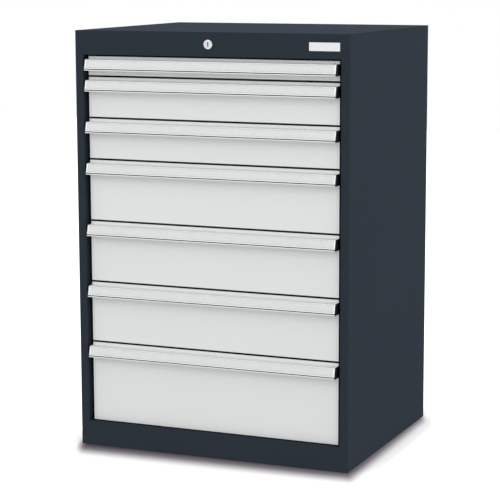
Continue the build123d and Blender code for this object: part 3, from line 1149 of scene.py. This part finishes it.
class Studio:
    """Camera, lamps, surroundings and floor."""

    def __init__(
        self, camera: CameraPlace, lights: Lights, rim: FloorShade, look: FloorLook
    ) -> None:
        """Keep the studio's parts.

        Args:
            camera: The camera's place.
            lights: The lamps and the surroundings' brightness.
            rim: The rim of shade around the base.
            look: The floor's extent and light.
        """
        self.camera = camera
        self.lights = lights
        self.rim = rim
        self.look = look

    def build_surroundings(self) -> None:
        """Light from all around, and plain white behind the object."""
        world = bpy.data.worlds.new("studio")
        bpy.context.scene.world = world
        sheet = NodeSheet(world, "ShaderNodeOutputWorld")
        soft, white = (
            sheet.add("ShaderNodeBackground", Color=WHITE, Strength=strength).outputs["Background"]
            for strength in (self.lights.surroundings, 1.0)
        )
        sheet.finish(sheet.for_camera(soft, white))
        LOG.info("surroundings")

    def base_distance(self, sheet: NodeSheet) -> Socket:
        """How far a floor point lies from the base, as the camera sees it.

        Both the point and the base's four corners are turned by the camera's azimuth, and
        their depth is multiplied by the squash. The result is the smallest distance to the
        four edges: each edge gives the point's share along it, held between 0 and 1, and the
        length from the point to that spot on the edge.

        Args:
            sheet: The floor's node sheet.

        Returns:
            The distance in metres.
        """
        azimuth = math.radians(self.camera.azimuth)
        across = np.array([math.cos(azimuth), math.sin(azimuth), 0.0])
        away = np.array([-math.sin(azimuth), math.cos(azimuth), 0.0]) * self.rim.squash
        where = sheet.coordinates()
        turned = [sheet.vector("DOT_PRODUCT", where, line) for line in (across, away)]
        place = sheet.add("ShaderNodeCombineXYZ", *turned).outputs["Vector"]
        signs = np.array([(-1.0, -1.0), (1.0, -1.0), (1.0, 1.0), (-1.0, 1.0)])
        halves = np.array([cad_high.x, cad_high.y]) - np.array(self.rim.insets)
        level = np.zeros(len(signs))
        corners = np.column_stack([signs * halves, level])
        corners = np.column_stack([corners @ across, corners @ away, level])
        nearest = None
        for start, end in zip(corners, np.roll(corners, -1, axis=0)):
            edge = end - start
            offset = sheet.vector("SUBTRACT", place, start)
            along = sheet.vector("DOT_PRODUCT", offset, edge)
            share = sheet.remap(along, end=float(edge @ edge))
            gap = sheet.vector("SUBTRACT", offset, sheet.vector("MULTIPLY", edge, share))
            length = sheet.vector("LENGTH", gap)
            nearest = length if nearest is None else sheet.math("MINIMUM", nearest, length)
        return nearest

    def floor_material(self) -> bpy.types.Material:
        """A pale floor with a painted shadow that deepens where the base meets it.

        Returns:
            The material.
        """
        look = self.look
        sheet = NodeSheet(bpy.data.materials.new("floor"))
        # Painted shadow: the floor's colour darkens along the ramp as the distance from the base
        # shrinks.
        share = sheet.math("DIVIDE", self.base_distance(sheet), self.rim.reach)
        ramp = sheet.add("ShaderNodeValToRGB", share)
        points = ramp.color_ramp.elements
        for place, _ in self.rim.stops[1:-1]:
            points.new(place)
        for point, (_, level) in zip(points, self.rim.stops):
            tint = self.rim.tint * (TOP_LEVEL - level) / TOP_LEVEL
            point.color = to_linear(level, level - tint, level)
        pale = ramp.outputs["Color"]
        glow = sheet.add("ShaderNodeEmission", Color=pale, Strength=look.glow)
        matte = sheet.add("ShaderNodeBsdfDiffuse", Color=pale)
        seen = sheet.add("ShaderNodeAddShader", glow.outputs["Emission"], matte.outputs["BSDF"])
        grey = (look.bounce, look.bounce, look.bounce, 1.0)
        bounce = sheet.add("ShaderNodeBsdfDiffuse", Color=grey)
        fill = sheet.add("ShaderNodeEmission", Color=WHITE, Strength=look.fill)
        plain = sheet.add("ShaderNodeAddShader", bounce.outputs["BSDF"], fill.outputs["Emission"])
        return sheet.finish(sheet.for_camera(plain.outputs["Shader"], seen.outputs["Shader"]))

    def build_floor(self) -> None:
        """Build the floor, a wide flat sheet."""
        side = np.linspace(-self.look.half, self.look.half, self.look.points)
        grid = np.zeros((side.size, side.size, 3))
        grid[..., 0] = side[:, None]
        grid[..., 1] = side[None, :]
        piece = MeshPiece("floor")
        piece.add_grid(grid[:, ::-1])
        floor = piece.build(self.floor_material(), smooth=False)

    def build(self) -> None:
        """Build the whole studio."""
        self.camera.build()
        self.build_surroundings()
        for lamp in self.lights.lamps:
            lamp.build()
        self.build_floor()
        bpy.context.scene.view_settings.view_transform = "Standard"


def dress_cad_nodes() -> None:
    """Give every CAD node the finish of its slot in the record."""
    made = {slot.value: finish.build(slot.value) for slot, finish in FINISHES.items()}
    for row in frame["record"]["subparts"]:
        node = frame["nodes"][row["node"]]
        node.data.materials.clear()
        node.data.materials.append(made[row["material_slot"]])
        LOG.info("finish %s on %s", row["material_slot"], row["node"])


def main() -> None:
    """Build the cabinet's visual model and its studio."""
    logging.basicConfig(level=logging.INFO, format="%(message)s")
    dress_cad_nodes()
    card = MouldedPlastic(
        to_linear(217, 219, 218), roughness=0.6, grain_scale=700.0, mottle=0.02
    ).build("label_card")
    film = ClearFilm().build("label_film")
    clip = MouldedPlastic(
        to_linear(246, 247, 249), roughness=0.35, grain_scale=900.0, mottle=0.02
    ).build("label_stop")
    cage = ZincPlate(to_linear(196, 198, 200), roughness=0.3).build("cage_steel")
    screw = ZincPlate(
        to_linear(190, 190, 186), roughness=0.32, streak=(700.0, 700.0, 700.0)
    ).build("screw_zinc")
    for number in range(1, DRAWERS + 1):
        LabelStrip(number, LabelSize(), HandleShape()).build(card, film, clip)
        BallCage(number, CageSize()).build(cage)
        TrayScrews(number, ScrewSize()).build(screw)
        LOG.info("label strip, ball cages and tray screws of drawer %d", number)
    Studio(CameraPlace(), Lights(), FloorShade(), FloorLook()).build()


if __name__ == "__main__":
    main()
